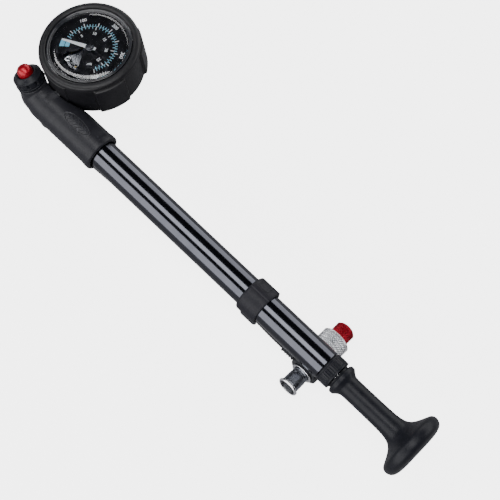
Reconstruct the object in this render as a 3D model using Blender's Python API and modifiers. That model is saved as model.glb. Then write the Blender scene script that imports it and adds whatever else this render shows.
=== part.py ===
"""Shock suspension pump: a hand pump with a dial gauge, a bleed button and a hose folded along its barrel.

The pump is drawn in its own frame: the barrel's axis is X, with X = 0 at the lip of the head and the
handle at +X, the gauge faces +Z, and the hose lies behind the barrel. Everything hangs from one empty,
which the last step lifts so that the pump stands on Z = 0 with its box centred on the origin.
All sizes below are in millimetres and are turned into metres by MM.
"""
import math
import bpy
import bmesh
from mathutils import Matrix, Vector

MM = 0.001
GAP = 0.3                      # clearance between pieces that touch
ROUND = 28                     # sides of a large turned piece
SMALL_ROUND = 16               # sides of a small turned piece
TINY_ROUND = 10                # sides of pins and springs

# Barrel and its end
BARREL_R = 7.0
BARREL_BORE_R = 6.2
BARREL_START = -9.7
BARREL_END = 138.4
CAP_START = 138.7
CAP_END = 144.8
CAP_R = 7.15
SPIGOT_R = 5.9
SPIGOT_START = 130.5

# Plunger and handle
ROD_R = 2.5
PISTON_START = -6.0
PISTON_END = 2.0
PISTON_R = 5.9
HANDLE_START = 145.9
HANDLE_END = 191.7
HANDLE_RIM_R = 15.5
HANDLE_BORE_END = 165.0

# Head
HEAD_R = 9.0
LIP_R = 9.25
SOCKET_DEPTH = 10.0
CHAMBER_R = 4.3
CHAMBER_END = -25.0

# Bleed valve: the centre of its mounting face and its tilt from +Z toward -X
BLEED_FACE = (-45.7, 0.0, 7.3)
BLEED_TILT = math.radians(26.0)
BLEED_NECK_R = 6.8

# Hose and its fold
HOSE_TURN = math.radians(8.0)  # the hose lies this far round the barrel from straight behind
HOSE_DISTANCE = 14.4           # barrel axis to the axis of the hose's two ends
HOSE_NEAR = 10.5               # barrel axis to hose axis where the hose lies on the barrel
HOSE_LEAVES = (-18.0, 24.0)    # X over which the hose comes in from the fold to the barrel
HOSE_RETURNS = (78.0, 116.0)   # X over which it goes out again to the connector
HOSE_R = 3.0
FOLD_X = -36.0                 # pivot of the folding hose
FOLD_PIN_R = 1.5
LUG_ROUND_R = 3.6
LUG_INSIDE = 2.0               # half the width of the slot between the lugs
LUG_OUTSIDE = 3.6              # half the width over the lugs
CONNECTOR_X = 131.6            # axis of the valve connector
CONNECTOR_R = 7.0

# Hose clip
CLIP_START = 91.7
CLIP_END = 102.6
CLIP_R = 8.9

# Gauge: the centre of its front rim, and its lean toward the head's end
GAUGE_FRONT = (-35.4, 27.5, 20.0)
GAUGE_LEAN = math.radians(-8.0)
BOOT_R = 23.2
BOOT_DEPTH = 20.5
LUG_R = 23.9
CASE_R = 20.0
STEM_DEPTH = 14.6              # gauge front to the axis of its stem
DIAL_R = 18.8
PINION_PITCH_R = 1.8
SECTOR_PITCH_R = 9.0
SECTOR_ANGLE = math.radians(-82.0)   # where the sector's pivot lies, round the dial
NEEDLE_ANGLE = math.radians(203.0)   # where the needle points at no pressure

PARTS = None                   # the collection of the pump's pieces
CUTTERS = None                 # the collection of cutters


# ---------------------------------------------------------------- scene, materials and frames

def clear_scene():
    for obj in list(bpy.data.objects):
        bpy.data.objects.remove(obj, do_unlink=True)


def make_collection(name):
    collection = bpy.data.collections.new(name)
    bpy.context.scene.collection.children.link(collection)
    return collection


def material(name, colour, roughness, metallic=0.0, transmission=0.0):
    mat = bpy.data.materials.get(name)
    if mat:
        return mat
    mat = bpy.data.materials.new(name)
    mat.use_nodes = True
    shader = mat.node_tree.nodes["Principled BSDF"]
    shader.inputs["Base Color"].default_value = (*colour, 1.0)
    shader.inputs["Roughness"].default_value = roughness
    shader.inputs["Metallic"].default_value = metallic
    shader.inputs["Transmission Weight"].default_value = transmission
    return mat


def charcoal_plastic():
    return material("charcoal_plastic", (0.045, 0.047, 0.052), 0.45)


def black_rubber():
    return material("black_rubber", (0.02, 0.02, 0.022), 0.6)


def hose_rubber():
    return material("hose_rubber", (0.025, 0.025, 0.027), 0.55)


def soft_black_plastic():
    return material("soft_black_plastic", (0.03, 0.032, 0.036), 0.4)


def black_anodised():
    return material("black_anodised", (0.012, 0.013, 0.018), 0.15, 0.9)


def gloss_black():
    return material("gloss_black", (0.03, 0.035, 0.045), 0.12, 0.8)


def silver_anodised():
    return material("silver_anodised", (0.82, 0.83, 0.85), 0.28, 1.0)


def chrome():
    return material("chrome", (0.9, 0.9, 0.92), 0.08, 1.0)


def steel():
    return material("steel", (0.62, 0.63, 0.65), 0.25, 1.0)


def brass():
    return material("brass", (0.72, 0.52, 0.2), 0.3, 1.0)


def red_anodised():
    return material("red_anodised", (0.55, 0.02, 0.05), 0.25, 0.9)


def red_plastic():
    return material("red_plastic", (0.6, 0.01, 0.02), 0.2)


def dial_print():
    return material("dial_print", (0.008, 0.008, 0.01), 0.5)


def needle_white():
    return material("needle_white", (0.9, 0.9, 0.92), 0.4)


def clear_lens():
    return material("clear_lens", (0.95, 0.97, 1.0), 0.03, 0.0, 1.0)


def frame_empty(name, location, rotation, parent=None):
    """An empty that places the pieces hung from it; it gives back the empty."""
    empty = bpy.data.objects.new(name, None)
    empty.location = [c * MM for c in location]
    empty.rotation_euler = rotation
    empty.parent = parent
    bpy.context.scene.collection.objects.link(empty)
    return empty


def add_object(name, mesh, mat, parent, collection=None):
    obj = bpy.data.objects.new(name, mesh)
    obj.parent = parent
    (collection or PARTS).objects.link(obj)
    if mat:
        mesh.materials.append(mat)
    return obj


def as_cutter(obj):
    """Moves a piece to the cutters, out of the build."""
    for collection in list(obj.users_collection):
        collection.objects.unlink(obj)
    CUTTERS.objects.link(obj)
    obj.hide_render = True
    obj.display_type = "WIRE"
    return obj


# ---------------------------------------------------------------- shapes

ALONG = {"x": (0.0, math.pi / 2, 0.0), "-x": (0.0, -math.pi / 2, 0.0), "y": (-math.pi / 2, 0.0, 0.0),
         "-y": (math.pi / 2, 0.0, 0.0), "z": (0.0, 0.0, 0.0)}


def turned(name, profile, mat, parent, along="x", at=(0, 0, 0), sides=ROUND, closed=False):
    """A turned piece. profile lists (radius, distance along the axis) from the top of the outer side
    down; a closed one goes back up its bore."""
    mesh = bpy.data.meshes.new(name)
    work = bmesh.new()
    points = [work.verts.new((r * MM, 0.0, z * MM)) for r, z in profile]
    for a, b in zip(points, points[1:]):
        work.edges.new((a, b))
    if closed:
        work.edges.new((points[-1], points[0]))
    work.to_mesh(mesh)
    work.free()
    obj = add_object(name, mesh, mat, parent)
    obj.rotation_euler = ALONG[along]
    obj.location = [c * MM for c in at]
    screw = obj.modifiers.new("turn", "SCREW")
    screw.steps = sides
    screw.render_steps = sides
    screw.use_merge_vertices = True
    screw.merge_threshold = 0.00001
    screw.use_normal_calculate = False
    return obj


def tube(name, outer, inner, start, end, mat, parent, along="x", at=(0, 0, 0), sides=ROUND, edge=0.0):
    """A plain ring or tube, with its outer edges eased by edge."""
    if edge:
        outside = [(outer - edge, end), (outer, end - edge), (outer, start + edge), (outer - edge, start)]
    else:
        outside = [(outer, end), (outer, start)]
    profile = [(inner, end)] + outside + [(inner, start)]
    return turned(name, profile, mat, parent, along, at, sides, closed=True)


def rod(name, radius, start, end, mat, parent, along="x", at=(0, 0, 0), sides=SMALL_ROUND, edge=0.0):
    """A plain shaft, with its ends eased by edge."""
    if edge:
        profile = [(0, end), (radius - edge, end), (radius, end - edge), (radius, start + edge),
                   (radius - edge, start), (0, start)]
    else:
        profile = [(0, end), (radius, end), (radius, start), (0, start)]
    return turned(name, profile, mat, parent, along, at, sides)


def ring_seal(name, place, major, minor, mat, parent, along="x", at=(0, 0, 0), sides=SMALL_ROUND):
    """A rubber ring at a place along the axis: a six-sided section turned about it."""
    section = [(major + minor * math.cos(a), place - minor * math.sin(a))
               for a in (2 * math.pi * i / 6 for i in range(6))]
    return turned(name, section, mat, parent, along, at, sides, closed=True)


def block(name, low, high, mat, parent, at=(0, 0, 0), bevel=0.0):
    """A box between two corners, with eased edges where bevel is given."""
    work = bmesh.new()
    bmesh.ops.create_cube(work, size=1.0)
    size = [(b - a) * MM for a, b in zip(low, high)]
    middle = [(b + a) / 2 * MM for a, b in zip(low, high)]
    bmesh.ops.scale(work, vec=size, verts=work.verts)
    bmesh.ops.translate(work, vec=middle, verts=work.verts)
    mesh = bpy.data.meshes.new(name)
    work.to_mesh(mesh)
    work.free()
    obj = add_object(name, mesh, mat, parent)
    obj.location = [c * MM for c in at]
    if bevel:
        soft = obj.modifiers.new("bevel", "BEVEL")
        soft.width = bevel * MM
        soft.segments = 2
    return obj


def plate(name, outlines, bottom, top, mat, parent, at=(0, 0, 0)):
    """A flat plate from closed outlines, the first its edge and the others its holes, as a mesh."""
    curve = bpy.data.curves.new(name, "CURVE")
    curve.dimensions = "2D"
    curve.fill_mode = "BOTH"
    curve.extrude = (top - bottom) / 2 * MM
    for outline in outlines:
        spline = curve.splines.new("POLY")
        spline.points.add(len(outline) - 1)
        for point, (x, y) in zip(spline.points, outline):
            point.co = (x * MM, y * MM, 0.0, 1.0)
        spline.use_cyclic_u = True
    guide = bpy.data.objects.new(name + "_outline", curve)
    bpy.context.scene.collection.objects.link(guide)
    obj = curve_to_mesh(guide, name, mat, parent)
    obj.location = [at[0] * MM, at[1] * MM, (at[2] + (top + bottom) / 2) * MM]
    return obj


def wire(name, path, radius, mat, parent, resolution=2):
    """A bent wire or tube along a path of points, as a mesh."""
    curve = bpy.data.curves.new(name, "CURVE")
    curve.dimensions = "3D"
    curve.bevel_depth = radius * MM
    curve.bevel_resolution = resolution
    curve.use_fill_caps = True
    spline = curve.splines.new("POLY")
    spline.points.add(len(path) - 1)
    for point, place in zip(spline.points, path):
        point.co = (*[c * MM for c in place], 1.0)
    guide = bpy.data.objects.new(name + "_path", curve)
    bpy.context.scene.collection.objects.link(guide)
    return curve_to_mesh(guide, name, mat, parent)


def curve_to_mesh(guide, name, mat, parent):
    """Turns a curve into a closed mesh hung from parent, and removes the curve."""
    bpy.context.view_layer.update()
    evaluated = guide.evaluated_get(bpy.context.evaluated_depsgraph_get())
    mesh = bpy.data.meshes.new_from_object(evaluated)
    mesh.name = name
    work = bmesh.new()
    work.from_mesh(mesh)
    bmesh.ops.remove_doubles(work, verts=work.verts, dist=0.000001)
    work.to_mesh(mesh)
    work.free()
    mesh.materials.clear()
    bpy.data.objects.remove(guide, do_unlink=True)
    return add_object(name, mesh, mat, parent)


def combine(target, others, operation):
    """Joins or cuts target with the others, which become cutters."""
    for other in others:
        change = target.modifiers.new(operation.lower(), "BOOLEAN")
        change.operation = operation
        change.solver = "EXACT"
        change.object = as_cutter(other)
    return target


def smooth(objects):
    for obj in objects:
        obj.data.shade_smooth()
        obj.data.set_sharp_from_angle(angle=math.radians(35.0))


def arc(radius, start, end, count, centre=(0.0, 0.0)):
    """Points on a circle from one angle to another, both in radians."""
    step = (end - start) / (count - 1)
    return [(centre[0] + radius * math.cos(start + step * i),
             centre[1] + radius * math.sin(start + step * i)) for i in range(count)]


# ---------------------------------------------------------------- barrel, plunger and handle

def build_barrel(pump):
    tube("barrel", BARREL_R, BARREL_BORE_R, BARREL_START, BARREL_END, black_anodised(), pump, edge=0.25)
    ring_seal("barrel_o_ring", -6.0, 7.62, 0.3, black_rubber(), pump, sides=24)
    bush_end = CAP_END - 1.3
    profile = [(3.2, CAP_END), (CAP_R - 0.5, CAP_END), (CAP_R, CAP_END - 0.5), (CAP_R, CAP_START + 0.3),
               (CAP_R - 0.3, CAP_START), (SPIGOT_R, CAP_START), (SPIGOT_R, SPIGOT_START),
               (4.5, SPIGOT_START), (4.5, bush_end + GAP), (3.2, bush_end + GAP)]
    turned("end_cap", profile, soft_black_plastic(), pump, closed=True)
    tube("rod_bush", 4.2, ROD_R + GAP, SPIGOT_START + 0.5, bush_end, steel(), pump, sides=SMALL_ROUND)


def build_plunger(pump):
    groove_start, groove_end, groove_r = -3.2, -1.0, 4.7
    profile = [(0, PISTON_END), (PISTON_R - 0.4, PISTON_END), (PISTON_R, PISTON_END - 0.4),
               (PISTON_R, groove_end), (groove_r, groove_end), (groove_r, groove_start),
               (PISTON_R, groove_start), (PISTON_R, PISTON_START + 0.4),
               (PISTON_R - 0.4, PISTON_START), (0, PISTON_START)]
    turned("piston", profile, brass(), pump, sides=SMALL_ROUND)
    ring_seal("piston_o_ring", (groove_start + groove_end) / 2, 5.48, 0.45, black_rubber(), pump)
    rod("piston_rod", ROD_R, PISTON_END + GAP, HANDLE_BORE_END - GAP, steel(), pump, edge=0.3)


def handle_profile():
    """The grip's outer side from the palm face down to its flange, as (radius, X)."""
    flange_r = 7.25
    stem_r = 5.0
    face = [(0, HANDLE_END), (3.0, HANDLE_END), (8.0, HANDLE_END - 0.2), (11.5, HANDLE_END - 0.7),
            (13.4, HANDLE_END - 1.4), (14.7, HANDLE_END - 2.5)]
    rim = [(HANDLE_RIM_R, HANDLE_END - 4.2), (HANDLE_RIM_R, HANDLE_END - 5.0), (15.1, HANDLE_END - 6.0)]
    flare = [(14.3, 184.8), (12.6, 183.9), (10.3, 182.8), (7.8, 181.0), (6.0, 178.8), (5.3, 175.8),
             (stem_r, 172.0), (stem_r, 150.9)]
    flange = [(5.9, 149.4), (flange_r - 0.4, 148.7), (flange_r, 148.2), (flange_r, HANDLE_START + 0.5),
              (flange_r - 0.5, HANDLE_START)]
    return face + rim + flare + flange


def build_handle(pump):
    bore = ROD_R + GAP
    inside = [(bore, HANDLE_START), (bore, HANDLE_BORE_END), (0, HANDLE_BORE_END)]
    turned("handle", handle_profile() + inside, soft_black_plastic(), pump, sides=ROUND)


# ---------------------------------------------------------------- head

def head_profile():
    """The head's outer side from its lip to its rounded end, as (radius, X)."""
    lip = [(0, 0.0), (LIP_R - 0.5, 0.0), (LIP_R, -0.6), (LIP_R, -3.2), (HEAD_R, -5.0)]
    end = [(HEAD_R, -36.0), (8.7, -40.0), (7.9, -44.0), (6.5, -47.4), (4.2, -49.9), (0, -51.0)]
    return lip + end


def build_head(pump, hose_frame, bleed_frame, gauge_frame):
    head = turned("head_body", head_profile(), charcoal_plastic(), pump)
    neck = rod("head_neck", BLEED_NECK_R, -11.0, 0.0, None, bleed_frame, "z", sides=24)
    stem_x = GAUGE_FRONT[0] - STEM_DEPTH * math.sin(GAUGE_LEAN)
    stem_z = GAUGE_FRONT[2] - STEM_DEPTH * math.cos(GAUGE_LEAN)
    boss = rod("gauge_boss", 4.2, -2.0, 6.0, None, pump, "y", at=(stem_x, 0, stem_z - 0.5), sides=SMALL_ROUND)
    lug_x = (FOLD_X - LUG_ROUND_R, FOLD_X + LUG_ROUND_R)
    lugs = block("fold_lugs", (lug_x[0], -LUG_OUTSIDE, -HOSE_DISTANCE), (lug_x[1], LUG_OUTSIDE, -4.0), None,
                 hose_frame)
    knuckle = rod("fold_knuckle", LUG_ROUND_R, -LUG_OUTSIDE, LUG_OUTSIDE, None, hose_frame, "y",
                  at=(FOLD_X, 0, -HOSE_DISTANCE))
    combine(head, [neck, boss, lugs, knuckle], "UNION")

    socket_profile = [(0, 1.0), (8.3, 1.0), (7.3, -0.8), (7.3, -5.0), (8.15, -5.0), (8.15, -7.0), (7.3, -7.0),
                      (7.3, -SOCKET_DEPTH), (CHAMBER_R, -SOCKET_DEPTH), (CHAMBER_R, CHAMBER_END),
                      (0, CHAMBER_END)]
    socket = turned("barrel_socket", socket_profile, None, pump, sides=28)
    bleed_bore = rod("bleed_bore", 4.8, -6.4, 2.0, None, bleed_frame, "z")
    passage = rod("air_passage", 1.2, -14.5, -6.0, None, bleed_frame, "z", sides=TINY_ROUND)
    saddle = rod("gauge_saddle", BOOT_R + 0.35, -BOOT_DEPTH - 0.35, 3.0, None, gauge_frame, "z", sides=48)
    stem_hole = rod("stem_hole", 2.8, -1.2, 12.0, None, pump, "y", at=(stem_x, 0, stem_z), sides=TINY_ROUND)
    slot = block("fold_slot", (lug_x[0] - 8.0, -LUG_INSIDE, -25.0), (lug_x[1] + 8.0, LUG_INSIDE, -9.3), None,
                 hose_frame)
    pin_hole = rod("fold_pin_hole", FOLD_PIN_R + GAP, -7.0, 7.0, None, hose_frame, "y",
                   at=(FOLD_X, 0, -HOSE_DISTANCE), sides=TINY_ROUND)
    plug_hole = rod("plug_hole", 2.1, -12.0, -5.2, None, pump, "y", at=(-41.0, 0, -1.0), sides=TINY_ROUND)
    combine(head, [socket, bleed_bore, passage, saddle, stem_hole, slot, pin_hole, plug_hole], "DIFFERENCE")

    plug = rod("passage_plug", 1.8, -7.9, -5.5, steel(), pump, "y", at=(-41.0, 0, -1.0), sides=TINY_ROUND)
    hexagon = rod("plug_hexagon", 0.95, -8.5, -6.9, None, pump, "y", at=(-41.0, 0, -1.0), sides=6)
    combine(plug, [hexagon], "DIFFERENCE")


def build_check_valve(pump):
    tube("check_valve_seat", 4.0, 1.2, -13.2, -10.3, brass(), pump, sides=SMALL_ROUND)
    mesh = bpy.data.meshes.new("check_valve_ball")
    work = bmesh.new()
    bmesh.ops.create_uvsphere(work, u_segments=TINY_ROUND, v_segments=8, radius=1.8 * MM)
    work.to_mesh(mesh)
    work.free()
    ball = add_object("check_valve_ball", mesh, steel(), pump)
    ball.location = (-15.0 * MM, 0.0, 0.0)
    coil_spring("check_valve_spring", -24.5, -18.1, 1.7, 3.5, pump)


def coil_spring(name, start, end, radius, turns, parent, along="x"):
    steps = round(turns * 10)
    path = []
    for i in range(steps + 1):
        a = 2 * math.pi * turns * i / steps
        path.append((radius * math.cos(a), radius * math.sin(a), start + (end - start) * i / steps))
    spring = wire(name, path, 0.25, steel(), parent, resolution=1)
    spring.rotation_euler = ALONG[along]
    return spring


def build_bleed_valve(bleed_frame):
    profile = [(3.95, 6.3), (4.5, 6.3), (4.9, 5.9), (6.3, 4.6), (6.8, 4.2), (6.8, 1.9), (6.3, 1.6), (7.0, 1.3),
               (7.0, 0.6), (6.7, 0.3), (4.5, 0.3), (4.5, -6.0), (1.9, -6.0), (1.9, -5.0), (3.4, -5.0),
               (3.4, 2.2), (3.95, 2.2)]
    turned("bleed_collar", profile, soft_black_plastic(), bleed_frame, "z", sides=24, closed=True)
    dome = [(0, 10.1), (1.5, 9.8), (2.7, 8.9), (3.4, 7.7), (3.6, 6.6), (3.6, 4.2), (2.4, 4.2), (2.4, -1.2),
            (0.8, -1.2), (0.8, -5.3), (0, -5.3)]
    turned("bleed_button", dome, red_plastic(), bleed_frame, "z", sides=SMALL_ROUND)
    coil_spring("bleed_spring", -4.6, -1.9, 2.3, 2.5, bleed_frame, "z")


# ---------------------------------------------------------------- gauge

def lug_outline():
    """The boot's ribbed outline: five broad lugs, the one toward the head lower than the rest."""
    low_r = BOOT_R - 0.6
    points = []
    for k in range(5):
        start = math.radians(-38.0 + 72.0 * k)
        lug = BOOT_R if k == 4 else LUG_R
        points += arc(lug, start, start + math.radians(37.0), 6)
        points += arc(low_r, start + math.radians(39.0), start + math.radians(70.0), 5)
    return points


def build_gauge_boot(gauge_frame):
    rim = [(19.7, -0.5), (20.2, 0.0), (21.8, -0.1), (22.8, -0.7), (BOOT_R, -1.6), (BOOT_R, -2.6), (22.4, -3.4),
           (22.4, -BOOT_DEPTH + 1.0), (21.4, -BOOT_DEPTH), (13.0, -BOOT_DEPTH), (13.0, -18.5), (20.3, -18.5),
           (20.3, -1.9), (19.7, -1.9)]
    boot = turned("gauge_boot", rim, black_rubber(), gauge_frame, "z", sides=40, closed=True)
    ribs = plate("boot_lugs", [lug_outline(), arc(21.0, 0.0, math.radians(351.0), 40)], -BOOT_DEPTH + 0.4, -3.0,
                 None, gauge_frame)
    combine(boot, [ribs], "UNION")
    hole = rod("boot_hole", 3.1, -26.0, -17.0, None, gauge_frame, "y", at=(0, 0, -STEM_DEPTH), sides=16)
    combine(boot, [hole], "DIFFERENCE")


def build_gauge_case(gauge_frame):
    profile = [(19.2, -2.2), (CASE_R, -2.2), (CASE_R, -17.6), (19.4, -18.2), (0, -18.2), (0, -17.6),
               (19.2, -17.6)]
    case = turned("gauge_case", profile, steel(), gauge_frame, "z", sides=32, closed=True)
    hole = rod("case_hole", 2.8, -22.0, -17.0, None, gauge_frame, "y", at=(0, 0, -STEM_DEPTH), sides=TINY_ROUND)
    combine(case, [hole], "DIFFERENCE")
    bezel = [(17.8, -1.0), (18.3, -0.4), (19.0, -0.4), (19.4, -0.8), (19.4, -1.9), (18.9, -1.9), (18.9, -2.6),
             (17.8, -2.6)]
    turned("gauge_bezel", bezel, gloss_black(), gauge_frame, "z", sides=32, closed=True)
    rod("gauge_lens", 17.4, -1.9, -1.1, clear_lens(), gauge_frame, "z", sides=32)


def fan_window():
    """The opening in the dial through which the movement shows."""
    outer = arc(12.4, math.radians(-124.0), math.radians(-62.0), 10)
    inner = arc(2.6, math.radians(-50.0), math.radians(-136.0), 5)
    return outer + inner


def build_dial(gauge_frame):
    edge = arc(DIAL_R, 0.0, math.radians(348.75), 32)
    plate("gauge_dial", [edge, arc(0.9, 0.0, math.radians(330.0), 12), fan_window()], -3.4, -3.0, dial_print(),
          gauge_frame)


def needle_outline():
    tip_r, tail_r = 13.8, 4.2
    turn = NEEDLE_ANGLE
    shape = [(tip_r, 0.12), (tip_r - 0.4, 0.25), (1.4, 0.62)]
    hub = arc(1.7, math.radians(22.0), math.radians(150.0), 6)
    tail = [(-tail_r, 0.5)]
    upper = shape + hub + tail
    lower = [(x, -y) for x, y in reversed(upper)]
    return [(x * math.cos(turn) - y * math.sin(turn), x * math.sin(turn) + y * math.cos(turn))
            for x, y in upper + lower]


def gear_outline(pitch_r, teeth, full_teeth, middle, hub=None):
    """Tooth outline on a circle of full_teeth, over an arc of teeth centred on middle."""
    add, root = 0.36, 0.52
    step = 2 * math.pi / full_teeth
    points = []
    for k in range(teeth):
        a = middle + (k - (teeth - 1) / 2) * step
        for offset, r in ((-0.30, pitch_r - root), (-0.11, pitch_r + add), (0.11, pitch_r + add),
                          (0.30, pitch_r - root)):
            points.append((r * math.cos(a + offset * step), r * math.sin(a + offset * step)))
    if hub:
        points += hub
    return points


def build_movement(gauge_frame):
    turn_r = PINION_PITCH_R + SECTOR_PITCH_R
    pivot = (turn_r * math.cos(SECTOR_ANGLE), turn_r * math.sin(SECTOR_ANGLE))
    pillar_a = (-4.1, -10.2)
    pillar_b = (4.6, 3.4)
    plate("needle", [needle_outline(), arc(0.75, 0.0, math.radians(315.0), 8)], -2.6, -2.3, needle_white(),
          gauge_frame)
    shaft = rod("pinion_arbor", 0.45, -10.4, -2.2, brass(), gauge_frame, "z", sides=TINY_ROUND)
    pinion = plate("pinion_teeth", [gear_outline(PINION_PITCH_R, 8, 8, SECTOR_ANGLE)], -7.6, -6.2,
                   None, gauge_frame)
    combine(shaft, [pinion], "UNION")

    facing = SECTOR_ANGLE + math.pi
    swing = math.radians(27.0)
    hub = arc(1.5, facing - swing + math.radians(70.0), facing - swing + math.radians(290.0), 9)
    outline = gear_outline(SECTOR_PITCH_R, 9, 40, facing - swing, hub)
    sector = plate("sector_gear", [outline], -7.5, -6.3, brass(), gauge_frame, at=(*pivot, 0))
    arbor = rod("sector_arbor", 0.5, -10.2, -4.4, None, gauge_frame, "z", at=(*pivot, 0), sides=TINY_ROUND)
    combine(sector, [arbor], "UNION")

    movement_plate("movement_front_plate", -5.3, -4.7, pivot, pillar_a, pillar_b, gauge_frame)
    movement_plate("movement_back_plate", -9.9, -9.1, pivot, pillar_a, pillar_b, gauge_frame)
    for number, pillar in enumerate((pillar_a, pillar_b), 1):
        screw = [(0, -3.8), (1.2, -3.8), (1.2, -4.4), (0.7, -4.4), (0.7, -10.6), (0, -10.6)]
        turned(f"movement_screw_{number}", screw, steel(), gauge_frame, "z", at=(*pillar, 0), sides=TINY_ROUND)


def movement_plate(name, bottom, top, pivot, pillar_a, pillar_b, gauge_frame):
    """A fan-shaped movement plate with clearance holes for the arbors and the screws."""
    fan = arc(12.2, math.radians(-121.0), math.radians(-66.0), 9) + [(5.4, -6.0), (6.6, 3.6)]
    fan += arc(2.2, math.radians(10.0), math.radians(90.0), 4, pillar_b) + [(-2.4, 2.4), (-3.2, -2.0)]
    holes = [arc(0.8, 0.0, math.radians(315.0), 8), arc(0.85, 0.0, math.radians(315.0), 8, pivot),
             arc(1.0, 0.0, math.radians(315.0), 8, pillar_a), arc(1.0, 0.0, math.radians(315.0), 8, pillar_b)]
    return plate(name, [fan] + holes, bottom, top, steel(), gauge_frame)


def build_bourdon(gauge_frame):
    tube_z = -13.4
    path = []
    for i in range(21):
        a = math.radians(-62.0 + 255.0 * i / 20)
        path.append((15.6 * math.cos(a), 15.6 * math.sin(a), tube_z))
    wire("bourdon_tube", path, 1.5, brass(), gauge_frame, resolution=1)
    socket = block("gauge_socket", (-5.0, -17.4, -17.1), (5.0, -12.0, -11.4), brass(), gauge_frame, bevel=0.4)
    stem = rod("socket_stem", 2.5, -28.2, -15.0, None, gauge_frame, "y", at=(0, 0, -STEM_DEPTH),
               sides=TINY_ROUND)
    combine(socket, [stem], "UNION")


# ---------------------------------------------------------------- hose, clip and connector

def build_clip(pump, hose_frame):
    clip = tube("hose_clip", CLIP_R, 7.3, CLIP_START, CLIP_END, soft_black_plastic(), pump, edge=0.8)
    cradle = block("clip_cradle", (CLIP_START + 0.6, -4.9, -15.6), (CLIP_END - 0.6, 4.9, -8.2), None, hose_frame,
                   bevel=0.5)
    combine(clip, [cradle], "UNION")
    middle = (CLIP_START + CLIP_END) / 2
    slope = math.atan2(hose_z(CLIP_START) - hose_z(CLIP_END), CLIP_END - CLIP_START)
    trough = rod("clip_trough", HOSE_R + 0.45, -9.0, 9.0, None, hose_frame, at=(middle, 0, hose_z(middle)))
    trough.rotation_euler = (0, math.pi / 2 + slope, 0)
    mouth = block("clip_mouth", (-9.0, -HOSE_R - 0.3, -8.0), (9.0, HOSE_R + 0.3, 0.0), None, hose_frame,
                  at=(middle, 0, hose_z(middle)))
    mouth.rotation_euler = (0, slope, 0)
    combine(clip, [trough, mouth], "DIFFERENCE")


def hose_z(x):
    """Height of the hose's axis at x, in the hose's own frame: in to the barrel and out again."""
    def ease(span):
        part = min(1.0, max(0.0, (x - span[0]) / (span[1] - span[0])))
        return (1.0 - math.cos(math.pi * part)) / 2

    inward = ease(HOSE_LEAVES) - ease(HOSE_RETURNS)
    return -HOSE_DISTANCE + (HOSE_DISTANCE - HOSE_NEAR) * inward


def hose_path(start, end):
    """Points along the hose: close together where it bends, far apart where it is straight."""
    places = [start]
    for span in (HOSE_LEAVES, HOSE_RETURNS):
        places += [span[0] + (span[1] - span[0]) * i / 8 for i in range(9)]
    return [(x, 0.0, hose_z(x)) for x in places + [end]]


def build_hose(hose_frame):
    middle = (0, 0, -HOSE_DISTANCE)
    pivot = (FOLD_X, 0, -HOSE_DISTANCE)
    swivel_half = LUG_INSIDE - GAP
    swivel = rod("hose_swivel", LUG_ROUND_R - 0.1, -swivel_half, swivel_half, black_anodised(), hose_frame, "y",
                 at=pivot, edge=0.2)
    neck = block("swivel_neck", (0, -swivel_half, -2.3), (5.8, swivel_half, 2.3), None, hose_frame, at=pivot)
    combine(swivel, [neck], "UNION")
    pin_bore = rod("swivel_bore", FOLD_PIN_R + GAP, -5.0, 5.0, None, hose_frame, "y", at=pivot, sides=TINY_ROUND)
    combine(swivel, [pin_bore], "DIFFERENCE")
    groove_r = 1.05
    outside = []
    for place in (1.0, -1.0):
        outside += [(FOLD_PIN_R, place + 0.5), (groove_r, place + 0.5), (groove_r, place - 0.5),
                    (FOLD_PIN_R, place - 0.5)]
    pin = [(0, LUG_OUTSIDE), (FOLD_PIN_R, LUG_OUTSIDE), *outside, (FOLD_PIN_R, -LUG_OUTSIDE), (0, -LUG_OUTSIDE)]
    turned("fold_pin", pin, steel(), hose_frame, "y", at=pivot, sides=TINY_ROUND)
    for number, place in enumerate((-1.0, 1.0), 1):
        ring_seal(f"fold_pin_o_ring_{number}", place, 1.42, 0.2, black_rubber(), hose_frame, "y", at=pivot,
                  sides=TINY_ROUND)
    hose_start, hose_end = -29.9, CONNECTOR_X - CONNECTOR_R - 0.9
    wire("hose", hose_path(hose_start, hose_end), HOSE_R, hose_rubber(), hose_frame)
    for name, radius, start, end in (("head_ferrule", 4.2, -31.0, -19.0),
                                     ("connector_ferrule", 3.8, 117.6, hose_end + 0.5)):
        tube(name, radius, HOSE_R + GAP, start, end, black_anodised(), hose_frame, at=middle,
             sides=SMALL_ROUND, edge=0.3)


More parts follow.
